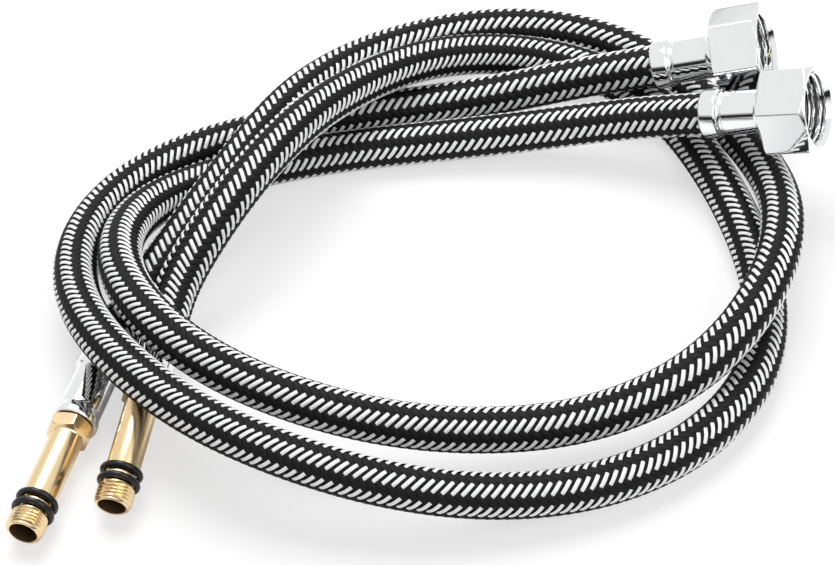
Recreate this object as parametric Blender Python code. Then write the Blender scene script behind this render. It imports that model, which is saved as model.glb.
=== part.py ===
# A matched pair of braided tap connectors, lying in one loose double loop on a table.
# Each line: woven sleeve over a rubber liner, a chromed swivel nut at one end and a brass tail at the other.
# Units in the lists are millimetres. The frame is metres, +Z up, the table at z = 0.
import math
import bpy
import bmesh
import numpy as np
from mathutils import Matrix, Vector

MM = 0.001

# Hose
HOSE_R = 6.25
BRAID_WALL = 0.95
LINER_R = 5.0
LINER_WALL = 0.9
TUBE_POINTS = 40
STUB = 12.5

# Swivel nut and its stem, along the axis from the hose end
NUT_AF = 24.0
NUT_BACK = 20.3
NUT_MOUTH = 34.4
NUT_HOLE_R = 4.4
NUT_WALL = 3.0
THREAD_MINOR_R = 9.32
THREAD_MAJOR_R = 10.48
THREAD_PITCH = 1.814
RIM_IN_R = 11.0
RIM_LAND = 0.95
RIM_OUT_R = RIM_IN_R + RIM_LAND
CORNER_R = RIM_OUT_R + 2.25
NECK_R = 4.0
SEAT_GAP = 0.3
FLANGE_ROOM = 0.42
FLANGE_R = THREAD_MINOR_R - FLANGE_ROOM
FLANGE_Z = NUT_BACK + NUT_WALL + SEAT_GAP
FLANGE_T = 2.0
WASHER_HOLE_R = 4.5
WASHER_Z = FLANGE_Z + FLANGE_T + SEAT_GAP
WASHER_T = 2.0
NUT_FERRULE_END = NUT_BACK - 2 * SEAT_GAP
WATERWAY_R = 2.4

# Brass tail
COLLAR_AF = 11.0
COLLAR = (22.0, 26.0)
BARREL_R = 4.45
TAIL_FERRULE_END = COLLAR[0] - SEAT_GAP
TAIL_TIP = 58.2
TAIL_BORE_R = 2.7
TIP_BORE_R = 3.7
RING_Z = (48.1, 51.2)
RING_MID_R = 4.85
RING_SECTION_R = 0.9
GROOVE_R = 3.65
GROOVE_W = 2.4
TAIL_THREAD = (52.5, 58.2)
TAIL_THREAD_R = (4.45, 4.95)

FERRULE_BORE_R = 4.35
NUT_BAND_R = 7.15
NUT_BAND_END = 5.0
NUT_GROOVE_R = 6.15
NUT_SLEEVE_R = 6.4
NUT_LIP_R = 6.85
TAIL_BAND_R = 6.45
TAIL_BAND_END = 3.2
TAIL_GROOVE_R = 5.65
TAIL_SLEEVE_R = 5.9
TAIL_LIP_R = 6.45
SEGMENTS = 20
NUT_SEGMENTS = 36
RING_SIDES = 10

# Where the whole pair sits in its frame
SHIFT = (-7.285, -12.018, -0.045)

# Each line's two ends: the point where the hose stops and the way that the fitting points
LINES = {
    "rear": {
        "nut": ((70.9, 73.5, 22.4), (0.912, -0.183, 0.367)),
        "tail": ((-68.2, -22.0, 14.5), (-0.176, -0.974, -0.141)),
        "nut_turn": 44.0,
        "tail_turn": 15.0,
        "route": [
            (20, 76, 7), (-10, 71, 6.5), (-38, 64, 7), (-64, 54, 8), (-85, 37, 9.5),
            (-96, 11, 13.5), (-94, -18, 19), (-79, -44, 24), (-57, -64, 24), (-30, -75, 20),
            (-4, -80, 15), (24, -79, 9.5), (52, -72, 7), (76, -57, 6.3), (93, -35, 6.3),
            (98, -8, 6.3), (95, 19, 6.3), (87, 47, 6.3), (75, 73, 6.3), (55, 90, 7),
            (27, 93, 11.5), (0, 82, 18), (-20, 62, 24), (-35, 40, 30), (-51, 13, 29),
        ],
    },
    "front": {
        "nut": ((83.5, 49.8, 24.6), (0.866, -0.334, 0.373)),
        "tail": ((-85.9, -30.8, 6.5), (-0.245, -0.970, 0.0)),
        "nut_turn": 27.0,
        "tail_turn": 10.0,
        "route": [
            (33, 59, 9), (3, 57, 6.5), (-26, 53, 6.3), (-54, 44, 7), (-77, 26, 13),
            (-84.5, -1, 22.5), (-76, -27, 27.5), (-57, -46, 26), (-32, -56, 21), (-5, -60, 15.5),
            (23, -59, 12), (50, -54, 12), (75, -42, 16), (93, -21, 20), (103.5, 7, 20),
            (104, 36, 12), (94, 65, 6.5), (78, 91, 6.3), (55, 105, 8), (28, 107, 10),
            (1, 97.5, 13), (-21, 81, 17), (-36, 62, 21), (-48, 40, 22), (-66.5, 12, 12.5),
        ],
    },
}

for old in list(bpy.data.objects):
    bpy.data.objects.remove(old, do_unlink=True)


def material(name, colour, roughness, metallic):
    mat = bpy.data.materials.new(name)
    mat.use_nodes = True
    shader = mat.node_tree.nodes["Principled BSDF"]
    shader.inputs["Base Color"].default_value = (*colour, 1.0)
    shader.inputs["Roughness"].default_value = roughness
    shader.inputs["Metallic"].default_value = metallic
    return mat


BRAID = ((0.03, 0.03, 0.035), 0.55, 0.0)
RUBBER = ((0.02, 0.02, 0.02), 0.6, 0.0)
CHROME = ((0.86, 0.87, 0.88), 0.08, 1.0)
BRASS = ((0.80, 0.58, 0.28), 0.22, 1.0)


def finish(obj, look):
    obj.data.materials.append(material(obj.name, *look))
    bpy.context.scene.collection.objects.link(obj)
    return obj


def end_frame(name, point, way):
    """An empty where a hose stops, its local Z along the fitting's axis."""
    empty = bpy.data.objects.new(name, None)
    empty.location = (Vector(point) + Vector(SHIFT)) * MM
    empty.rotation_mode = "QUATERNION"
    empty.rotation_quaternion = Vector(way).normalized().to_track_quat("Z", "Y")
    bpy.context.scene.collection.objects.link(empty)
    return empty


def turned(name, profile, parent, look, segments=SEGMENTS):
    """A closed (radius, height) outline spun round the local Z axis."""
    bm = bmesh.new()
    ring = [bm.verts.new((r * MM, 0.0, z * MM)) for r, z in profile]
    edges = [bm.edges.new((a, b)) for a, b in zip(ring, ring[1:] + ring[:1])]
    bmesh.ops.spin(bm, geom=ring + edges, axis=(0, 0, 1), cent=(0, 0, 0),
                   angle=2 * math.pi, steps=segments, use_merge=True)
    bmesh.ops.remove_doubles(bm, verts=bm.verts, dist=1e-6)
    bmesh.ops.recalc_face_normals(bm, faces=bm.faces)
    mesh = bpy.data.meshes.new(name)
    bm.to_mesh(mesh)
    bm.free()
    mesh.shade_smooth()
    mesh.set_sharp_from_angle(angle=math.radians(35))
    obj = bpy.data.objects.new(name, mesh)
    obj.parent = parent
    return finish(obj, look)


def hex_trim(obj, across_flats, bottom, top, turn):
    """Leave only what lies inside a hexagon bar round the local Z axis."""
    bm = bmesh.new()
    r = across_flats / 2 / math.cos(math.pi / 6)
    angles = [math.radians(turn + 60 * k) for k in range(6)]
    ring = [bm.verts.new((r * math.cos(a) * MM, r * math.sin(a) * MM, bottom * MM)) for a in angles]
    bar = bmesh.ops.extrude_face_region(bm, geom=[bm.faces.new(ring)])
    tops = [v for v in bar["geom"] if isinstance(v, bmesh.types.BMVert)]
    bmesh.ops.translate(bm, verts=tops, vec=(0, 0, (top - bottom) * MM))
    bmesh.ops.recalc_face_normals(bm, faces=bm.faces)
    mesh = bpy.data.meshes.new(obj.name + "_bar")
    bm.to_mesh(mesh)
    bm.free()
    bar = bpy.data.objects.new(obj.name + "_bar", mesh)
    bar.parent = obj.parent
    bar.hide_render = True
    bar.display_type = "WIRE"
    bpy.context.scene.collection.objects.link(bar)
    cut = obj.modifiers.new("hexagon", "BOOLEAN")
    cut.operation = "INTERSECT"
    cut.object = bar


def ridges(start, stop, pitch, low, high):
    """A thread drawn as rings: one flat-topped ridge to each pitch."""
    out = []
    count = int((stop - start) / pitch + 1e-6)
    for k in range(count):
        z = start + k * pitch
        out += [(low, z + 0.10 * pitch), (high, z + 0.42 * pitch), (high, z + 0.58 * pitch),
                (low, z + 0.90 * pitch)]
    return out


def barbs():
    """The toothed spigot inside the liner, from its tip to the hose end."""
    out = [(2.9, -12.0)]
    for k in range(2):
        z = -11.0 + 5.0 * k
        out += [(3.5, z + 2.0), (3.15, z + 2.3), (3.15, z + 3.6)]
    return out


def spline(points, count):
    """Points along a clamped cubic B-spline through the route."""
    ctrl = np.array(points, float)
    n = len(ctrl)
    knots = np.concatenate([np.zeros(3), np.arange(n - 2), np.full(3, n - 3)]).astype(float)
    t = np.linspace(0.0, n - 3 - 1e-9, count)
    span = ((knots[None, :-1] <= t[:, None]) & (t[:, None] < knots[None, 1:])).astype(float)
    for d in range(1, 4):
        new = np.zeros((count, span.shape[1] - 1))
        for i in range(new.shape[1]):
            left = knots[i + d] - knots[i]
            right = knots[i + d + 1] - knots[i + 1]
            if left > 0:
                new[:, i] += (t - knots[i]) / left * span[:, i]
            if right > 0:
                new[:, i] += (knots[i + d + 1] - t) / right * span[:, i + 1]
        span = new
    return span @ ctrl


def route_of(line):
    """The hose's centre line, from the nut's ferrule to the tail's, with straight square ends."""
    nut, nut_way = (np.array(v) for v in line["nut"])
    tail, tail_way = (np.array(v) for v in line["tail"])
    nut_way = nut_way / np.linalg.norm(nut_way)
    tail_way = tail_way / np.linalg.norm(tail_way)
    start = [nut, nut - 9 * nut_way, nut - 25 * nut_way]
    stop = [tail - 15 * tail_way, tail - 6 * tail_way, tail]
    fine = spline(start + [np.array(p) for p in line["route"]] + stop, 3000)
    s = np.concatenate([[0], np.cumsum(np.linalg.norm(np.diff(fine, axis=0), axis=1))])
    at = np.linspace(STUB, s[-1] - STUB, TUBE_POINTS - 2)
    mid = np.stack([np.interp(at, s, fine[:, k]) for k in range(3)], 1)
    pts = np.concatenate([[nut], mid, [tail]])
    pts[1] = nut - STUB * nut_way
    pts[-2] = tail - STUB * tail_way
    # Each point stands half of its chords' sag outside the bend, so the tube straddles the true route.
    bend = pts[1:-3] - 2 * pts[2:-2] + pts[3:-1]
    pts[2:-2] -= bend / 16
    return pts + np.array(SHIFT), s[-1]


def tube(name, pts, radius, wall, look, fineness):
    """A hose layer: a bevelled poly curve with a wall grown inwards and square open ends."""
    data = bpy.data.curves.new(name, "CURVE")
    data.dimensions = "3D"
    data.bevel_depth = radius * MM
    data.bevel_resolution = fineness
    data.twist_mode = "MINIMUM"
    line = data.splines.new("POLY")
    line.points.add(len(pts) - 1)
    for p, q in zip(line.points, pts):
        p.co = (*(q * MM), 1.0)
    obj = bpy.data.objects.new(name, data)
    thick = obj.modifiers.new("wall", "SOLIDIFY")
    thick.thickness = wall * MM
    thick.offset = -1.0
    thick.use_even_offset = True
    return finish(obj, look)


def nut_end(prefix, line):
    frame = end_frame(prefix + "_nut_end", *line["nut"])
    band, stop = NUT_BAND_END, NUT_FERRULE_END
    turned(prefix + "_nut_ferrule", [
        (FERRULE_BORE_R, SEAT_GAP), (NUT_BAND_R - 0.35, SEAT_GAP), (NUT_BAND_R, SEAT_GAP + 0.4),
        (NUT_BAND_R, band), (NUT_BAND_R - 0.3, band + 0.5), (NUT_GROOVE_R + 0.2, band + 0.8),
        (NUT_GROOVE_R, band + 1.2), (NUT_GROOVE_R, band + 1.8), (NUT_SLEEVE_R, band + 2.2),
        (NUT_SLEEVE_R, stop - 2.5),
        (NUT_LIP_R - 0.2, stop - 2.1), (NUT_LIP_R, stop - 1.5), (NUT_LIP_R, stop - 0.5),
        (NUT_LIP_R - 0.35, stop), (FERRULE_BORE_R, stop)], frame, CHROME)
    turned(prefix + "_nut_stem", [(WATERWAY_R, -12.0)] + barbs() + [
        (3.15, 0.4), (NECK_R, 0.8), (NECK_R, FLANGE_Z), (FLANGE_R - 0.4, FLANGE_Z),
        (FLANGE_R, FLANGE_Z + 0.4),
        (FLANGE_R, FLANGE_Z + FLANGE_T - 0.3), (FLANGE_R - 0.3, FLANGE_Z + FLANGE_T),
        (WATERWAY_R, FLANGE_Z + FLANGE_T)], frame, BRASS)
    z0 = NUT_MOUTH - 1.2 - 3 * THREAD_PITCH
    thread = ridges(z0, NUT_MOUTH - 1.2, THREAD_PITCH, THREAD_MINOR_R, THREAD_MAJOR_R)
    nut = turned(prefix + "_swivel_nut", [
        (NUT_HOLE_R, NUT_BACK), (CORNER_R - 1.0, NUT_BACK), (CORNER_R, NUT_BACK + 0.5),
        (CORNER_R, NUT_MOUTH - 1.6), (RIM_OUT_R + 0.15, NUT_MOUTH - 0.25), (RIM_OUT_R, NUT_MOUTH),
        (RIM_IN_R, NUT_MOUTH),
        (THREAD_MINOR_R, NUT_MOUTH - 1.2)] + thread[::-1] + [
        (THREAD_MINOR_R, z0), (THREAD_MINOR_R, NUT_BACK + NUT_WALL), (NUT_HOLE_R, NUT_BACK + NUT_WALL)],
        frame, CHROME, NUT_SEGMENTS)
    hex_trim(nut, NUT_AF, NUT_BACK - 2, NUT_MOUTH + 2, line["nut_turn"])
    turned(prefix + "_seal_washer", [
        (WASHER_HOLE_R, WASHER_Z), (FLANGE_R - 0.3, WASHER_Z), (FLANGE_R, WASHER_Z + 0.3),
        (FLANGE_R, WASHER_Z + WASHER_T - 0.3), (FLANGE_R - 0.3, WASHER_Z + WASHER_T),
        (WASHER_HOLE_R, WASHER_Z + WASHER_T)], frame, RUBBER)


def tail_end(prefix, line):
    frame = end_frame(prefix + "_tail_end", *line["tail"])
    band, stop = TAIL_BAND_END, TAIL_FERRULE_END
    turned(prefix + "_tail_ferrule", [
        (FERRULE_BORE_R, SEAT_GAP), (TAIL_BAND_R - 0.35, SEAT_GAP), (TAIL_BAND_R, SEAT_GAP + 0.4),
        (TAIL_BAND_R, band), (TAIL_BAND_R - 0.25, band + 0.5), (TAIL_GROOVE_R + 0.15, band + 0.8),
        (TAIL_GROOVE_R, band + 1.2), (TAIL_GROOVE_R, band + 1.6), (TAIL_SLEEVE_R, band + 2.1),
        (TAIL_SLEEVE_R, stop - 5.3),
        (TAIL_SLEEVE_R - 0.15, stop - 4.7), (TAIL_SLEEVE_R - 0.15, stop - 4.1),
        (TAIL_LIP_R - 0.35, stop - 3.1), (TAIL_LIP_R, stop - 1.9), (TAIL_LIP_R, stop - 0.7),
        (TAIL_LIP_R - 0.25, stop), (FERRULE_BORE_R, stop)], frame, CHROME)
    corner = COLLAR_AF / 2 / math.cos(math.pi / 6) + 0.1
    half = GROOVE_W / 2
    a, b = RING_Z
    low, high = TAIL_THREAD_R
    stem = turned(prefix + "_tail_stem", [(WATERWAY_R, -12.0)] + barbs() + [
        (3.15, 0.4), (NECK_R, 0.8), (NECK_R, COLLAR[0]), (corner - 0.55, COLLAR[0]),
        (corner, COLLAR[0] + 0.4),
        (corner, COLLAR[1] - 0.4), (corner - 0.55, COLLAR[1]), (BARREL_R, COLLAR[1] + 0.3),
        (BARREL_R, a - half),
        (GROOVE_R, a - half), (GROOVE_R, a + half), (BARREL_R, a + half), (BARREL_R, b - half),
        (GROOVE_R, b - half), (GROOVE_R, b + half), (BARREL_R, b + half)]
        + ridges(TAIL_THREAD[0], TAIL_THREAD[1], 1.0, low, high) + [
        (low, TAIL_TIP - 0.4), (low - 0.25, TAIL_TIP), (TIP_BORE_R, TAIL_TIP), (TIP_BORE_R, TAIL_TIP - 4.6),
        (TAIL_BORE_R, TAIL_TIP - 5.6), (TAIL_BORE_R, 24.0), (WATERWAY_R, 23.4)], frame, BRASS)
    hex_trim(stem, COLLAR_AF, -14.0, TAIL_TIP + 2, line["tail_turn"])
    for label, z in zip(("inner", "outer"), RING_Z):
        angles = [2 * math.pi * k / RING_SIDES for k in range(RING_SIDES)]
        turned(prefix + "_" + label + "_o_ring", [
            (RING_MID_R + RING_SECTION_R * math.cos(q), z + RING_SECTION_R * math.sin(q)) for q in angles],
            frame, RUBBER)


centres = {}
for prefix, line in LINES.items():
    pts, length = route_of(line)
    centres[prefix] = pts
    tube(prefix + "_braid", pts, HOSE_R, BRAID_WALL, BRAID, 4)
    tube(prefix + "_liner", pts, LINER_R, LINER_WALL, RUBBER, 2)
    nut_end(prefix, line)
    tail_end(prefix, line)
    print(prefix, "hose", round(length, 1), "mm, lowest centre", round(pts[:, 2].min(), 2))


def dense(pts, step=1.0):
    out = []
    for p, q in zip(pts, pts[1:]):
        k = max(int(np.linalg.norm(q - p) / step), 1)
        out += [p + (q - p) * i / k for i in range(k)]
    return np.array(out + [pts[-1]])


# The least room between the hoses, and between each hose and itself
runs = {k: dense(v) for k, v in centres.items()}
cross = np.linalg.norm(runs["rear"][:, None] - runs["front"][None], axis=2)
i, j = np.unravel_index(cross.argmin(), cross.shape)
print("rear to front gap", round(cross.min() - 2 * HOSE_R, 2),
      runs["rear"][i].round(0), runs["front"][j].round(0))
for k, v in runs.items():
    own = np.linalg.norm(v[:, None] - v[None], axis=2)
    idx = np.arange(len(v))
    own[abs(idx[:, None] - idx[None]) < 80] = 99
    i, j = np.unravel_index(own.argmin(), own.shape)
    print(k, "to itself gap", round(own.min() - 2 * HOSE_R, 2), v[i].round(0), v[j].round(0))
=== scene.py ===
# A matched pair of braided tap connectors, lying in one loose double loop on a white table.
import math

import bpy
import numpy as np
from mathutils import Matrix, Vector


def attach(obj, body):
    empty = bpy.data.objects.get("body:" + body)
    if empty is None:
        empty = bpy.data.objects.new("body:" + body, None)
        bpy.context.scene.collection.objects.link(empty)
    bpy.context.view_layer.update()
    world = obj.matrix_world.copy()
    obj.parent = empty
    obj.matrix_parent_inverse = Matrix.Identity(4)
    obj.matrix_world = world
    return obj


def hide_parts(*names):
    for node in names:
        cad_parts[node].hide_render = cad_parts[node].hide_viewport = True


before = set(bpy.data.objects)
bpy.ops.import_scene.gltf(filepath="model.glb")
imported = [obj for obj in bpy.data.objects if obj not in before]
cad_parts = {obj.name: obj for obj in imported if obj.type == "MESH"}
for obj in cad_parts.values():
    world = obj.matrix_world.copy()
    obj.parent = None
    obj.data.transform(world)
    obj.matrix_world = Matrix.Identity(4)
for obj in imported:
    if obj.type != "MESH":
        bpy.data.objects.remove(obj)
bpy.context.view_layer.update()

# The view: a long lens over the near side of the loop, looking down at a little under half a right angle.
# The loop fills the frame from the brass tails at lower left to the nuts at upper right.
VIEW_FROM = (-0.007285, -0.433492, 0.458177)
VIEW_DOWN_DEG = 47.0
LENS_MM = 94.85
SENSOR_MM = 36.0
view = bpy.data.cameras.new("view")
view.lens = LENS_MM
view.sensor_width = SENSOR_MM
view.clip_start = 0.01
view.clip_end = 20.0
view_obj = bpy.data.objects.new("view", view)
view_obj.location = VIEW_FROM
view_obj.rotation_euler = (math.radians(90.0 - VIEW_DOWN_DEG), 0.0, 0.0)
bpy.context.scene.collection.objects.link(view_obj)
bpy.context.scene.camera = view_obj
bpy.context.scene.view_settings.view_transform = "Standard"

# The two hoses' routes, in millimetres: where each hose stops at its nut and at its tail, the way each
# fitting points there, and the bends between. The turns, in degrees, are the hexagons' and the weave's round
# the hose; weave gives distance along the hose, twist in degrees, and how far its pitch is drawn out.
SHIFT = np.array((-7.285, -12.018, -0.045))
LINES = {
    "rear": {
        "nut": ((70.9, 73.5, 22.4), (0.912, -0.183, 0.367)),
        "tail": ((-68.2, -22.0, 14.5), (-0.176, -0.974, -0.141)),
        "nut_turn": 44.0,
        "tail_turn": 15.0,
        "row_turn": -5.0,
        "weave": [
            (0, 0, 1.18), (80, 0, 1.1), (150, 0, 1.0), (200, 0, 0.97), (240, 0, 0.82), (280, 2, 0.8),
            (320, 3, 0.94), (360, 4, 1.03), (430, 6, 1.03), (500, 12, 0.93), (640, 40, 0.95),
            (740, 40, 0.95),
        ],
        "route": [
            (20, 76, 7), (-10, 71, 6.5), (-38, 64, 7), (-64, 54, 8), (-85, 37, 9.5),
            (-96, 11, 13.5), (-94, -18, 19), (-79, -44, 24), (-57, -64, 24), (-30, -75, 20),
            (-4, -80, 15), (24, -79, 9.5), (52, -72, 7), (76, -57, 6.3), (93, -35, 6.3),
            (98, -8, 6.3), (95, 19, 6.3), (87, 47, 6.3), (75, 73, 6.3), (55, 90, 7),
            (27, 93, 11.5), (0, 82, 18), (-20, 62, 24), (-35, 40, 30), (-51, 13, 29),
        ],
    },
    "front": {
        "nut": ((83.5, 49.8, 24.6), (0.866, -0.334, 0.373)),
        "tail": ((-85.9, -30.8, 6.5), (-0.245, -0.970, 0.0)),
        "nut_turn": 27.0,
        "tail_turn": 10.0,
        "row_turn": 6.5,
        "weave": [
            (0, 6, 1.1), (80, 8, 1.05), (160, 14, 0.92), (200, 17, 0.86), (250, 14, 0.84), (290, 7, 0.96),
            (330, 4, 1.05), (400, 3, 1.08), (470, 0, 1.12), (640, 0, 1.12), (740, -18, 1.0),
        ],
        "route": [
            (33, 59, 9), (3, 57, 6.5), (-26, 53, 6.3), (-54, 44, 7), (-77, 26, 13),
            (-84.5, -1, 22.5), (-76, -27, 27.5), (-57, -46, 26), (-32, -56, 21), (-5, -60, 15.5),
            (23, -59, 12), (50, -54, 12), (75, -42, 16), (93, -21, 20), (103.5, 7, 20),
            (104, 36, 12), (94, 65, 6.5), (78, 91, 6.3), (55, 105, 8), (28, 107, 10),
            (1, 97.5, 13), (-21, 81, 17), (-36, 62, 21), (-48, 40, 22), (-66.5, 12, 12.5),
        ],
    },
}
NUT_LEAD = (9.0, 25.0)
TAIL_LEAD = (15.0, 6.0)
SPLINE_STEPS = 4000
PATH_STEPS = 1601


def unit(v):
    """The same direction with a length of one: the vector over its own length."""
    return np.asarray(v, float) / np.linalg.norm(v)


def spline(points, count):
    """Points along a clamped cubic B-spline: each is a blend of four neighbouring route points."""
    ctrl = np.array(points, float)
    n = len(ctrl)
    knots = np.concatenate([np.zeros(3), np.arange(n - 2), np.full(3, n - 3)]).astype(float)
    t = np.linspace(0.0, n - 3 - 1e-9, count)
    span = ((knots[None, :-1] <= t[:, None]) & (t[:, None] < knots[None, 1:])).astype(float)
    for d in range(1, 4):
        new = np.zeros((count, span.shape[1] - 1))
        for i in range(new.shape[1]):
            left = knots[i + d] - knots[i]
            right = knots[i + d + 1] - knots[i + 1]
            if left > 0:
                new[:, i] += (t - knots[i]) / left * span[:, i]
            if right > 0:
                new[:, i] += (knots[i + d + 1] - t) / right * span[:, i + 1]
        span = new
    return span @ ctrl


def hose_path(line):
    """The hose's centre line by distance along it, with a side and a top direction carried on untwisted."""
    nut, tail = (np.array(line[k][0], float) for k in ("nut", "tail"))
    nut_way, tail_way = (unit(line[k][1]) for k in ("nut", "tail"))
    start = [nut] + [nut - d * nut_way for d in NUT_LEAD]
    stop = [tail - d * tail_way for d in TAIL_LEAD] + [tail]
    fine = spline(start + [np.array(p, float) for p in line["route"]] + stop, SPLINE_STEPS) + SHIFT
    s = np.concatenate([[0], np.cumsum(np.linalg.norm(np.diff(fine, axis=0), axis=1))])
    at = np.linspace(0, s[-1], PATH_STEPS)
    c = np.stack([np.interp(at, s, fine[:, k]) for k in range(3)], 1)
    t = np.gradient(c, axis=0)
    t /= np.linalg.norm(t, axis=1)[:, None]
    side = np.zeros_like(c)
    side[0] = unit(np.cross((0, 0, 1), t[0]))
    for i in range(1, len(c)):
        v = side[i - 1] - t[i] * (side[i - 1] @ t[i])
        side[i] = v / np.linalg.norm(v)
    return {"s": at, "c": c, "t": t, "side": side, "top": np.cross(t, side), "length": s[-1]}


# The woven sleeve: twelve flat silver-white strands wound one way over and under twelve wider black yarns
# wound the other way, two over and two under, so that the silver shows in six rows of slanting dashes.
# A dark tube under the weave closes the gaps between the strands.
CARRIERS = 12
ROWS = 6
WEAVE_PITCH = 30.0
WEAVE_R = 5.93
WEAVE_DEPTH = 0.27
SILVER_BIAS = 0.22
SILVER_W = 1.06
YARN_W = 1.96
CORE_R = 5.62
STRAND_STEP = 0.6
STRIP_ACROSS = np.array([-0.5, -0.36, 0.36, 0.5])
STRIP_DROP = np.array([-0.17, 0.03, 0.03, -0.17])
SMOOTH_STEPS = 61
YARN_LEAD_DEG = 15.0
CORE_RINGS = 700
CORE_SIDES = 24


def on_hose(path, s, angle, r):
    """Points at distance s along a hose, at an angle round it and a radius from its centre, in metres."""
    pick = {k: np.stack([np.interp(s, path["s"], path[k][:, j]) for j in range(3)], -1)
            for k in ("c", "t", "side", "top")}
    over = np.minimum(s, 0) + np.maximum(s - path["length"], 0)
    ring = np.cos(angle)[..., None] * pick["side"] + np.sin(angle)[..., None] * pick["top"]
    return (pick["c"] + over[..., None] * pick["t"] + r[..., None] * ring) / 1000.0


def grid_piece(name, pts, close_u, close_v, uv=None, sharp_deg=40.0):
    """A mesh over a grid of points (rows u, columns v), joined to itself along the closed directions."""
    nu, nv = pts.shape[:2]
    iu = np.arange(nu if close_u else nu - 1)
    iv = np.arange(nv if close_v else nv - 1)
    a, b = np.meshgrid(iu, iv, indexing="ij")
    a2, b2 = (a + 1) % nu, (b + 1) % nv
    quads = np.stack([a * nv + b, a2 * nv + b, a2 * nv + b2, a * nv + b2], -1).reshape(-1, 4)
    return quad_piece(name, pts.reshape(-1, 3), quads, uv, sharp_deg)


def quad_piece(name, verts, quads, uv=None, sharp_deg=40.0):
    """Put whole arrays of corners and quads into a new mesh object at the origin."""
    mesh = bpy.data.meshes.new(name)
    mesh.vertices.add(len(verts))
    mesh.vertices.foreach_set("co", verts.astype(np.float32).ravel())
    mesh.loops.add(quads.size)
    mesh.loops.foreach_set("vertex_index", quads.astype(np.int32).ravel())
    mesh.polygons.add(len(quads))
    mesh.polygons.foreach_set("loop_start", np.arange(0, quads.size, 4, dtype=np.int32))
    mesh.update(calc_edges=True)
    if uv is not None:
        layer = mesh.uv_layers.new(name="lay")
        layer.data.foreach_set("uv", uv[quads.ravel()].astype(np.float32).ravel())
    mesh.validate()
    mesh.shade_smooth()
    mesh.set_sharp_from_angle(angle=math.radians(sharp_deg))
    obj = bpy.data.objects.new(name, mesh)
    bpy.context.scene.collection.objects.link(obj)
    return obj


def finish_of(name, colour, roughness, metallic):
    """A plain shader with one colour, roughness and metal value all over."""
    mat = bpy.data.materials.new(name)
    mat.use_nodes = True
    shader = mat.node_tree.nodes["Principled BSDF"]
    shader.inputs["Base Color"].default_value = (*colour, 1.0)
    shader.inputs["Roughness"].default_value = roughness
    shader.inputs["Metallic"].default_value = metallic
    return mat, shader


def patches_group():
    """A node group: soft cloudy patches from 0 to 1 in the piece's own coordinates, so many to the metre."""
    group = bpy.data.node_groups.new("patches", "ShaderNodeTree")
    group.interface.new_socket("Scale", in_out="INPUT", socket_type="NodeSocketFloat")
    group.interface.new_socket("Mask", in_out="OUTPUT", socket_type="NodeSocketFloat")
    nodes, links = group.nodes, group.links
    inlet = nodes.new("NodeGroupInput")
    outlet = nodes.new("NodeGroupOutput")
    coords = nodes.new("ShaderNodeTexCoord")
    cloud = nodes.new("ShaderNodeTexNoise")
    cloud.inputs["Detail"].default_value = 3.0
    spread = nodes.new("ShaderNodeMapRange")
    spread.inputs["From Min"].default_value = 0.3
    spread.inputs["From Max"].default_value = 0.7
    links.new(coords.outputs["Object"], cloud.inputs["Vector"])
    links.new(inlet.outputs["Scale"], cloud.inputs["Scale"])
    links.new(cloud.outputs[0], spread.inputs["Value"])
    links.new(spread.outputs["Result"], outlet.inputs["Mask"])
    return group


PATCHES = patches_group()


def patchy_finish(name, colours, roughness, metallic, scale, relief=0.0):
    """A finish that drifts between two colours and two roughnesses in patches, with or without relief."""
    mat, shader = finish_of(name, colours[0], roughness[0], metallic)
    nodes, links = mat.node_tree.nodes, mat.node_tree.links
    patch = nodes.new("ShaderNodeGroup")
    patch.node_tree = PATCHES
    patch.inputs["Scale"].default_value = scale
    tone = nodes.new("ShaderNodeMix")
    tone.data_type = "RGBA"
    tone.inputs[6].default_value = (*colours[0], 1.0)
    tone.inputs[7].default_value = (*colours[1], 1.0)
    links.new(patch.outputs["Mask"], tone.inputs[0])
    links.new(tone.outputs[2], shader.inputs["Base Color"])
    haze = nodes.new("ShaderNodeMapRange")
    haze.inputs["To Min"].default_value = roughness[0]
    haze.inputs["To Max"].default_value = roughness[1]
    links.new(patch.outputs["Mask"], haze.inputs["Value"])
    links.new(haze.outputs["Result"], shader.inputs["Roughness"])
    if relief:
        bump = nodes.new("ShaderNodeBump")
        bump.inputs["Strength"].default_value = 0.5
        bump.inputs["Distance"].default_value = relief
        links.new(patch.outputs["Mask"], bump.inputs["Height"])
        links.new(bump.outputs["Normal"], shader.inputs["Normal"])
    return mat, shader


def filament_group():
    """A node group: filaments along a strand, as a mask that is also their height, from its own UV map."""
    group = bpy.data.node_groups.new("filaments", "ShaderNodeTree")
    group.interface.new_socket("Count", in_out="INPUT", socket_type="NodeSocketFloat")
    group.interface.new_socket("Mask", in_out="OUTPUT", socket_type="NodeSocketFloat")
    nodes, links = group.nodes, group.links
    inlet = nodes.new("NodeGroupInput")
    outlet = nodes.new("NodeGroupOutput")
    coords = nodes.new("ShaderNodeUVMap")
    coords.uv_map = "lay"
    split = nodes.new("ShaderNodeSeparateXYZ")
    across = nodes.new("ShaderNodeMath")
    across.operation = "MULTIPLY"
    wave = nodes.new("ShaderNodeMath")
    wave.operation = "SINE"
    size = nodes.new("ShaderNodeMath")
    size.operation = "ABSOLUTE"
    links.new(coords.outputs["UV"], split.inputs[0])
    links.new(split.outputs["X"], across.inputs[0])
    links.new(inlet.outputs["Count"], across.inputs[1])
    links.new(across.outputs[0], wave.inputs[0])
    links.new(wave.outputs[0], size.inputs[0])
    links.new(size.outputs[0], outlet.inputs["Mask"])
    return group


FILAMENTS = filament_group()


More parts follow.
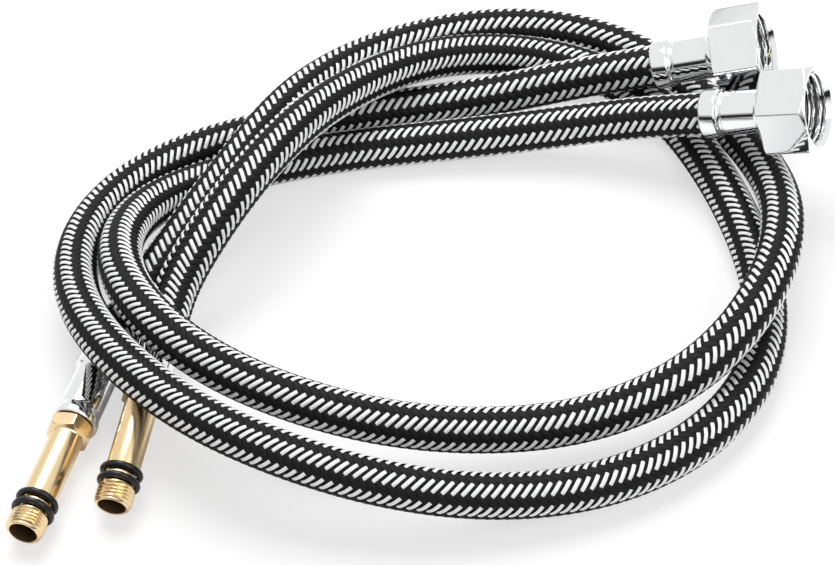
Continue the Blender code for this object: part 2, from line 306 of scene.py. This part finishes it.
def strand_finish(name, colour, groove_painted_shade, roughness, metallic, count):
    """A strand of parallel filaments: between them the colour is darkened with painted shade, and the
    surface dips.
    """
    mat, shader = finish_of(name, colour, roughness, metallic)
    nodes, links = mat.node_tree.nodes, mat.node_tree.links
    fil = nodes.new("ShaderNodeGroup")
    fil.node_tree = FILAMENTS
    fil.inputs["Count"].default_value = math.pi * count
    mix = nodes.new("ShaderNodeMix")
    mix.data_type = "RGBA"
    # Painted shade: the second colour darkens the strand in the grooves between its filaments.
    mix.inputs[6].default_value = (*groove_painted_shade, 1.0)
    mix.inputs[7].default_value = (*colour, 1.0)
    links.new(fil.outputs["Mask"], mix.inputs[0])
    links.new(mix.outputs[2], shader.inputs["Base Color"])
    bump = nodes.new("ShaderNodeBump")
    bump.inputs["Strength"].default_value = 0.35
    bump.inputs["Distance"].default_value = 0.0001
    links.new(fil.outputs["Mask"], bump.inputs["Height"])
    links.new(bump.outputs["Normal"], shader.inputs["Normal"])
    return mat


# Each strand's second colour is painted shade between its filaments.
silver_finish = strand_finish("silver_strand", (0.95, 0.95, 0.955), (0.80, 0.80, 0.81), 0.34, 0.0, 6)
yarn_finish = strand_finish("black_yarn", (0.006, 0.006, 0.0065), (0.0015, 0.0015, 0.0015), 0.62, 0.0, 5)
yarn_finish.node_tree.nodes["Principled BSDF"].inputs["Specular IOR Level"].default_value = 0.2
core_finish, _ = patchy_finish("sleeve_shadow", [(0.004, 0.004, 0.004), (0.003, 0.003, 0.003)],
                               (0.75, 0.85), 0.0, 400.0)


def along(s, place, value):
    """Values given at a few places along a hose: joined by straight lines, then averaged over a run."""
    soft = np.hanning(SMOOTH_STEPS) / np.hanning(SMOOTH_STEPS).sum()
    return np.convolve(np.pad(np.interp(s, place, value), SMOOTH_STEPS // 2, "edge"), soft, "valid")


def strands(name, path, weave, hand, row_turn, width, rise, lead):
    """Helical strands wound one way: the radius swings six times a turn, in step with the rows of dashes.

    Along the hose the whole weave twists a little, and handling has drawn it tighter or looser. Each strand
    is a strip with a flat crown and two dropped edges, offset square to its own direction.
    """
    n = int(path["length"] / STRAND_STEP)
    s = np.linspace(-0.2, path["length"] + 0.2, n)
    place, twist, loose = np.array(weave, float).T
    twist = along(s, place, np.radians(twist))[None, :, None]
    pitch = WEAVE_PITCH * along(s, place, loose)
    turns = np.concatenate([[0], np.cumsum(np.diff(s) / pitch[1:])])[None, :, None]
    s = s[None, :, None]
    start = (2 * np.pi * np.arange(CARRIERS) / CARRIERS + lead)[:, None, None]
    angle = start + hand * 2 * np.pi * turns
    swing = np.cos(ROWS * (angle - row_turn)) + SILVER_BIAS
    r = WEAVE_R + rise * WEAVE_DEPTH * swing
    lean = np.arctan2(2 * np.pi * WEAVE_R, pitch)[None, :, None]
    across = STRIP_ACROSS[None, None, :] * width
    wide = across * np.cos(lean) / math.cos(math.atan2(2 * np.pi * WEAVE_R, WEAVE_PITCH))
    ds = -hand * np.sin(lean) * wide
    dangle = np.cos(lean) * wide / WEAVE_R
    pts = on_hose(path, s + ds, angle + twist + dangle, r + STRIP_DROP)
    k, m, w = pts.shape[:3]
    row = np.arange(k)[:, None, None] * m + np.arange(m - 1)[None, :, None]
    base = row * w + np.arange(w - 1)[None, None, :]
    quads = np.stack([base, base + w, base + w + 1, base + 1], -1)
    uv = np.stack(np.broadcast_arrays(across / width + 0.5, s / 10.0 + 0 * start), -1)
    uv = np.broadcast_to(uv, (k, m, w, 2)).reshape(-1, 2)
    return quad_piece(name, pts.reshape(-1, 3), quads.reshape(-1, 4), uv, 80.0)


paths = {key: hose_path(line) for key, line in LINES.items()}
sleeve = {}
for key, line in LINES.items():
    path = paths[key]
    turn = math.radians(line["row_turn"])
    s = np.linspace(0.0, path["length"], CORE_RINGS)[:, None]
    a = np.linspace(0, 2 * np.pi, CORE_SIDES + 1)[None, :-1]
    s, a, r = np.broadcast_arrays(s, a, CORE_R)
    core = grid_piece(key + "_sleeve", on_hose(path, s, a, r), False, True)
    core.data.materials.append(core_finish)
    silver = strands(key + "_silver_strands", path, line["weave"], -1, turn, SILVER_W, 1.0, 0.0)
    silver.data.materials.append(silver_finish)
    lead = 2 * turn + math.radians(YARN_LEAD_DEG)
    yarn = strands(key + "_black_yarns", path, line["weave"], 1, turn, YARN_W, -1.0, lead)
    yarn.data.materials.append(yarn_finish)
    for piece in (core, silver, yarn):
        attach(piece, "hoses")
    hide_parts(key + "_braid")
    sleeve[key] = (core, silver, yarn)

# The chromed swivel nut: a hexagon with both ends turned to a cone, an inside pipe thread and a lead-in
# chamfer. It turns on the stem's flange, so it rides on its own body.
NUT_AF = 24.0
NUT_PITCH = 1.814
NUT_TEETH = (1.25, 0.12)
NUT_MINOR_R = 9.32
NUT_TOOTH_H = 1.16
NUT_STEPS = 360
NUT_BACK = [(4.4, 23.3), (4.4, 20.55), (4.45, 20.36), (4.65, 20.3), (8.0, 20.3), (12.9, 20.3)]
NUT_RIM = [(12.0, 34.3), (11.9, 34.38), (11.8, 34.4), (11.2, 34.4), (11.05, 34.37), (10.95, 34.28),
           (9.9, 33.15)]
NUT_FLOOR = [(9.35, 27.8), (9.35, 23.5), (9.15, 23.3), (4.6, 23.3)]
NUT_CONE_Z = (20.3, 20.8, 32.9, 34.15)
NUT_CONE_R = (13.2, 14.6, 14.6, 12.1)
HEX_CRISP = 64.0
CONE_CRISP = 150.0
chrome, _ = patchy_finish("bright_chrome", [(0.885, 0.89, 0.895), (0.865, 0.87, 0.875)],
                          (0.04, 0.07), 1.0, 150.0)


def axis_frame(end):
    """Where a hose stops, the fitting's way, and its level side and its top direction."""
    p = np.array(end[0], float) + SHIFT
    way = unit(end[1])
    side = unit(np.cross((0, 0, 1), way))
    return p, way, side, np.cross(way, side)


def round_piece(name, end, r, z, angle, sharp_deg=30.0):
    """A closed surface round a fitting's axis: radius and height over a grid of outline steps and angles.

    Its UV map gives the height along the axis in centimetres and the turn round it.
    """
    p, way, side, top = axis_frame(end)
    r, z, angle = np.broadcast_arrays(r, z, angle)
    ring = np.cos(angle)[..., None] * side + np.sin(angle)[..., None] * top
    pts = (p + z[..., None] * way + r[..., None] * ring) / 1000.0
    uv = np.stack([z / 10.0, angle / (2 * np.pi)], -1)[::-1].reshape(-1, 2)
    return grid_piece(name, pts[::-1], True, True, uv, sharp_deg)


def hexagon(angle, across_flats, turn_deg):
    """The radius of a hexagon with softly rounded corners: six flats blended by a high power."""
    a = across_flats / 2
    flats = np.radians(turn_deg + 30 + 60 * np.arange(6))
    reach = np.maximum(np.cos(angle[..., None] - flats), 0) / a
    return (reach ** HEX_CRISP).sum(-1) ** (-1 / HEX_CRISP)


def coned(flats, cone):
    """The smaller of a hexagon's and a cone's radius, blended by a high power where they cross."""
    return (flats ** -CONE_CRISP + cone[:, None] ** -CONE_CRISP) ** (-1 / CONE_CRISP)


def helix_tooth(z, angle, pitch, gain, sink):
    """A thread's tooth, 0 at its root and 1 at its crest: a triangle wave that climbs a pitch each turn."""
    turn = z[:, None] / pitch - angle / (2 * np.pi)
    return np.clip(np.abs((turn % 1.0) * 2 - 1) * gain - sink, 0, 1)


def nut_surface(name, line):
    """Outline from the back hole, over the hexagon and both cones, through the mouth and down the thread."""
    angle = np.linspace(0, 2 * np.pi, NUT_STEPS + 1)[:-1][None, :]
    flat = np.ones_like(angle)
    back, rim, floor = (np.array(o) for o in (NUT_BACK, NUT_RIM, NUT_FLOOR))
    runs = ((20.3, 21.2, 8), (21.6, 32.2, 8), (32.5, 34.15, 16))
    flank = np.concatenate([np.linspace(*run) for run in runs])
    outer = coned(hexagon(angle, NUT_AF, line["nut_turn"]), np.interp(flank, NUT_CONE_Z, NUT_CONE_R))
    bore_z = np.linspace(33.0, 28.0, 44)
    fade = np.clip((bore_z - 28.1) / 1.0, 0, 1)[:, None]
    lead = np.clip((bore_z - 32.3) / 0.7, 0, 1)[:, None] * 0.5
    tooth = helix_tooth(bore_z, angle, NUT_PITCH, *NUT_TEETH)
    bore = NUT_MINOR_R + NUT_TOOTH_H * np.maximum(tooth * fade, lead)
    r = np.concatenate([back[:, :1] * flat, outer, rim[:, :1] * flat, bore, floor[:, :1] * flat])
    z = np.concatenate([back[:, 1], flank, rim[:, 1], bore_z, floor[:, 1]])[:, None]
    return round_piece(name, line["nut"], r, z, angle, 28.0)


for key, line in LINES.items():
    nut = nut_surface(key + "_nut", line)
    nut.data.materials.append(chrome)
    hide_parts(key + "_swivel_nut")
    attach(nut, key + "_nut")

# The chromed ferrules, pressed thin sleeves: a wide band at the hose, a rolled groove, a plain barrel
# and a rolled lip at the fitting. The tail's ferrule is a little slimmer than the nut's.
ROUND_STEPS = 96
ROUND = np.linspace(0, 2 * np.pi, ROUND_STEPS + 1)[:-1][None, :]
FERRULE_EASE = 0.35
NUT_FERRULE = [(4.35, 0.3), (6.8, 0.3), (7.15, 0.75), (7.15, 5.0), (6.85, 5.5), (6.35, 5.8), (6.15, 6.2),
               (6.15, 6.8), (6.4, 7.2), (6.4, 17.2), (6.65, 17.6), (6.85, 18.2), (6.85, 19.2), (6.5, 19.7),
               (4.35, 19.7)]
TAIL_FERRULE = [(4.35, 0.3), (6.1, 0.3), (6.45, 0.75), (6.45, 3.1), (6.2, 3.65), (5.8, 4.0), (5.68, 4.4),
                (5.68, 4.8), (5.9, 5.3), (5.9, 16.4), (5.75, 17.0), (5.75, 17.6), (6.1, 18.6), (6.45, 19.8),
                (6.45, 21.0), (6.2, 21.7), (4.35, 21.7)]


def eased(outline, radius, steps=4):
    """A closed outline with each corner turned into a short arc, no longer than a third of its sides."""
    pts = np.array(outline, float)
    before = np.roll(pts, 1, axis=0) - pts
    after = np.roll(pts, -1, axis=0) - pts
    lb = np.linalg.norm(before, axis=1, keepdims=True)
    la = np.linalg.norm(after, axis=1, keepdims=True)
    reach = np.minimum(np.minimum(lb, la) * 0.33, radius)
    a = pts + before / lb * reach
    b = pts + after / la * reach
    t = np.linspace(0, 1, steps + 1)[None, :, None]
    arc = (1 - t) ** 2 * a[:, None] + 2 * t * (1 - t) * pts[:, None] + t ** 2 * b[:, None]
    return arc.reshape(-1, 2)


for key, line in LINES.items():
    for end, outline in (("nut", NUT_FERRULE), ("tail", TAIL_FERRULE)):
        o = eased(outline, FERRULE_EASE)
        piece = round_piece(key + "_" + end + "_sleeve", line[end], o[:, :1], o[:, 1:], ROUND)
        piece.data.materials.append(chrome)
        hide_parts(key + "_" + end + "_ferrule")
        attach(piece, "hoses")

# The brass tail, turned from hexagon bar: a hexagon collar, a long plain barrel, two grooves for the rings,
# a short metric thread and a bored tip. Inside the nut the stem that it turns on is brass too.
COLLAR_AF = 11.0
COLLAR_CONE_Z = (22.0, 22.55, 25.45, 26.0)
COLLAR_CONE_R = (5.55, 6.6, 6.6, 5.6)
TAIL_PITCH = 1.0
TAIL_TEETH = (1.2, 0.1)
TAIL_MINOR_R = 4.42
TAIL_TOOTH_H = 0.53
TAIL_STEPS = 192
TAIL_NECK = [(2.4, -12.0), (3.0, -12.0), (3.5, -9.0), (3.15, -8.6), (3.15, 0.4), (4.0, 0.8), (4.0, 22.0),
             (5.2, 22.02)]
TAIL_BARREL = [(5.0, 26.1), (4.62, 26.3), (4.45, 26.7), (4.45, 46.9), (3.65, 46.9), (3.65, 49.3),
               (4.45, 49.3), (4.45, 50.0), (3.65, 50.0), (3.65, 52.4), (4.45, 52.4), (4.45, 52.6)]
TAIL_TIP = [(4.4, 57.9), (4.25, 58.1), (4.12, 58.19), (4.0, 58.2), (3.8, 58.2), (3.72, 58.14), (3.7, 58.0),
            (3.7, 53.7), (2.7, 52.7), (2.7, 24.0), (2.4, 23.4)]
BORE_ROWS = 5
brass, brass_shader = patchy_finish("turned_brass", [(0.885, 0.69, 0.42), (0.85, 0.64, 0.37)],
                                    (0.18, 0.27), 1.0, 220.0)
# Painted shade: the faces inside the tail's bore get a dark brown brass that stands in for the shadow in the
# hole.
bore_painted_shade, _ = patchy_finish("unlit_bore", [(0.10, 0.055, 0.025), (0.08, 0.042, 0.018)],
                              (0.45, 0.55), 0.4, 300.0)
# Fine lathe lines run round the brass, as uneven ripples along its height.
nodes, links = brass.node_tree.nodes, brass.node_tree.links
lathe_uv = nodes.new("ShaderNodeUVMap")
lathe_uv.uv_map = "lay"
lathe_height = nodes.new("ShaderNodeSeparateXYZ")
lathe_lines = nodes.new("ShaderNodeTexNoise")
lathe_lines.noise_dimensions = "1D"
lathe_lines.inputs["Scale"].default_value = 40.0
lathe_lines.inputs["Detail"].default_value = 4.0
lathe_bump = nodes.new("ShaderNodeBump")
lathe_bump.inputs["Strength"].default_value = 0.3
lathe_bump.inputs["Distance"].default_value = 0.00002
links.new(lathe_uv.outputs["UV"], lathe_height.inputs[0])
links.new(lathe_height.outputs["X"], lathe_lines.inputs["W"])
links.new(lathe_lines.outputs[0], lathe_bump.inputs["Height"])
links.new(lathe_bump.outputs["Normal"], brass_shader.inputs["Normal"])


def tail_surface(name, line):
    """Outline from the neck, over collar, barrel, grooves and thread, round the tip and back up the bore."""
    angle = np.linspace(0, 2 * np.pi, TAIL_STEPS + 1)[:-1][None, :]
    flat = np.ones_like(angle)
    neck, tip = np.array(TAIL_NECK), np.array(TAIL_TIP)
    runs = ((22.05, 22.7, 7), (23.0, 25.0, 4), (25.3, 26.0, 7))
    collar_z = np.concatenate([np.linspace(*run) for run in runs])
    cone = np.interp(collar_z, COLLAR_CONE_Z, COLLAR_CONE_R)
    collar = coned(hexagon(angle, COLLAR_AF, line["tail_turn"]), cone)
    barrel = eased(TAIL_BARREL, 0.12, 2)[3:-3]
    thread_z = np.linspace(52.65, 57.8, 62)
    fade = np.clip((thread_z - 52.7) / 0.5, 0, 1) * np.clip((58.1 - thread_z) / 0.8, 0, 1)
    tooth = helix_tooth(thread_z, angle, TAIL_PITCH, *TAIL_TEETH)
    thread = TAIL_MINOR_R + TAIL_TOOTH_H * tooth * fade[:, None]
    r = np.concatenate([neck[:, :1] * flat, collar, barrel[:, :1] * flat, thread, tip[:, :1] * flat])
    z = np.concatenate([neck[:, 1], collar_z, barrel[:, 1], thread_z, tip[:, 1]])[:, None]
    piece = round_piece(name, line["tail"], r, z, angle, 28.0)
    # The rows inside the bore take the second material, the painted shade.
    inside = np.zeros(r.shape, np.int32)
    inside[-BORE_ROWS:] = 1
    inside[:1] = 1
    return piece, inside[::-1].ravel()


for key, line in LINES.items():
    tail, inside = tail_surface(key + "_tail", line)
    tail.data.materials.append(brass)
    tail.data.materials.append(bore_painted_shade)
    tail.data.polygons.foreach_set("material_index", inside)
    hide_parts(key + "_tail_stem")
    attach(tail, "hoses")
    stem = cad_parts[key + "_nut_stem"]
    stem.data.materials.clear()
    stem.data.materials.append(brass)

# The two black sealing rings in the tail's grooves, and the flat washer inside the nut: moulded rubber.
# The rings are stretched over the tail, and the washer drops in on the stem's flange. The hose's liner,
# out of sight, is rubber too.
RING_Z = (48.1, 51.2)
RING_MID_R = 4.85
RING_SECTION_R = 0.9
SECTION_STEPS = 24
WASHER = [(4.5, 25.9), (8.9, 25.9), (8.9, 27.9), (4.5, 27.9)]
WASHER_EASE = 0.3
rubber, rubber_shader = patchy_finish("sealing_rubber", [(0.006, 0.0055, 0.006), (0.009, 0.0085, 0.009)],
                                      (0.24, 0.32), 0.0, 900.0, 0.00002)
rubber_shader.inputs["Specular IOR Level"].default_value = 0.35
for key, line in LINES.items():
    for label, height in zip(("inner", "outer"), RING_Z):
        q = np.linspace(0, 2 * np.pi, SECTION_STEPS + 1)[:-1][:, None]
        r = RING_MID_R + RING_SECTION_R * np.cos(q)
        z = height + RING_SECTION_R * np.sin(q)
        ring = round_piece(key + "_" + label + "_ring", line["tail"], r, z, ROUND, 80.0)
        ring.data.materials.append(rubber)
        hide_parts(key + "_" + label + "_o_ring")
        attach(ring, "hoses")
    o = eased(WASHER, WASHER_EASE)
    washer = round_piece(key + "_washer", line["nut"], o[:, :1], o[:, 1:], ROUND)
    washer.data.materials.append(rubber)
    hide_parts(key + "_seal_washer")
    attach(washer, "hoses")
    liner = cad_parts[key + "_liner"]
    liner.data.materials.clear()
    liner.data.materials.append(rubber)

# Each hose leaves the nut end, lies on the table in its loose loop, and carries the brass tail on its far
# end.
# Here the loop only looks up each hose's path and its three sleeve pieces.
for key, line in LINES.items():
    path = paths[key]
    core, silver, yarn = sleeve[key]

# The table, a plain white sheet. To the eye it glows a little, so that it comes out white and still keeps
# the soft shadows of the hoses.
FLOOR_HALF = 4.0
TABLE_GLOW = 0.62
corners = np.array([[-1, -1, 0], [1, -1, 0], [1, 1, 0], [-1, 1, 0]]) * FLOOR_HALF
floor = quad_piece("table", corners, np.array([[0, 1, 2, 3]]))
floor_finish, _ = finish_of("white_table", (0.93, 0.93, 0.93), 0.55, 0.0)
floor.data.materials.append(floor_finish)
nodes, links = floor_finish.node_tree.nodes, floor_finish.node_tree.links
glow = nodes.new("ShaderNodeEmission")
eye = nodes.new("ShaderNodeLightPath")
share = nodes.new("ShaderNodeMath")
share.operation = "MULTIPLY"
share.inputs[1].default_value = TABLE_GLOW
lit = nodes.new("ShaderNodeMixShader")
links.new(eye.outputs["Is Camera Ray"], share.inputs[0])
links.new(share.outputs[0], lit.inputs[0])
links.new(nodes["Principled BSDF"].outputs[0], lit.inputs[1])
links.new(glow.outputs[0], lit.inputs[2])
links.new(lit.outputs[0], nodes["Material Output"].inputs["Surface"])

# The light: two broad soft lamps over the table, the stronger one from behind the loop.
KEY_FROM, KEY_SIZE, KEY_POWER = (-0.15, 0.45, 1.05), 0.8, 11.0
FILL_FROM, FILL_SIZE, FILL_POWER = (0.6, -0.6, 0.9), 0.9, 4.6


def soft_lamp(name, place, size, power):
    """A round area lamp that faces the middle of the loop."""
    data = bpy.data.lights.new(name, "AREA")
    data.shape = "DISK"
    data.size = size
    data.energy = power
    lamp = bpy.data.objects.new(name, data)
    lamp.location = place
    lamp.rotation_euler = Vector(-unit(place)).to_track_quat("-Z", "Y").to_euler()
    bpy.context.scene.collection.objects.link(lamp)


soft_lamp("key", KEY_FROM, KEY_SIZE, KEY_POWER)
soft_lamp("fill", FILL_FROM, FILL_SIZE, FILL_POWER)

# The room, as the metal mirrors it: bright overhead and on the far side, dark low on the viewer's side.
# To the eye the background is white, and on dull surfaces it is a weak even light.
ROOM_LIGHT = 0.36
ROOM_TILT = 0.35
ROOM_FADE = (-0.05, 0.15)
ROOM_DARK = 0.024
ROOM_BRIGHT = 0.93
WHITE = (1, 1, 1, 1)
world = bpy.data.worlds.new("studio")
bpy.context.scene.world = world
world.use_nodes = True
nodes, links = world.node_tree.nodes, world.node_tree.links
back = nodes["Background"]
back.inputs["Color"].default_value = WHITE
back.inputs["Strength"].default_value = ROOM_LIGHT
white = nodes.new("ShaderNodeBackground")
white.inputs["Color"].default_value = WHITE
white.inputs["Strength"].default_value = 1.0
room = nodes.new("ShaderNodeBackground")
room.inputs["Color"].default_value = WHITE
where = nodes.new("ShaderNodeTexCoord")
height = nodes.new("ShaderNodeSeparateXYZ")
ramp = nodes.new("ShaderNodeMapRange")
ramp.inputs["From Min"].default_value = ROOM_FADE[0]
ramp.inputs["From Max"].default_value = ROOM_FADE[1]
ramp.inputs["To Min"].default_value = ROOM_DARK
ramp.inputs["To Max"].default_value = ROOM_BRIGHT
far_side = nodes.new("ShaderNodeMath")
far_side.operation = "MULTIPLY_ADD"
far_side.inputs[1].default_value = ROOM_TILT
ray = nodes.new("ShaderNodeLightPath")
as_seen = nodes.new("ShaderNodeMixShader")
as_shone = nodes.new("ShaderNodeMixShader")
links.new(where.outputs["Generated"], height.inputs[0])
links.new(height.outputs["Y"], far_side.inputs[0])
links.new(height.outputs["Z"], far_side.inputs[2])
links.new(far_side.outputs[0], ramp.inputs["Value"])
links.new(ramp.outputs["Result"], room.inputs["Strength"])
links.new(ray.outputs["Is Camera Ray"], as_seen.inputs[0])
links.new(back.outputs[0], as_seen.inputs[1])
links.new(white.outputs[0], as_seen.inputs[2])
links.new(ray.outputs["Is Glossy Ray"], as_shone.inputs[0])
links.new(as_seen.outputs[0], as_shone.inputs[1])
links.new(room.outputs[0], as_shone.inputs[2])
links.new(as_shone.outputs[0], nodes["World Output"].inputs["Surface"])
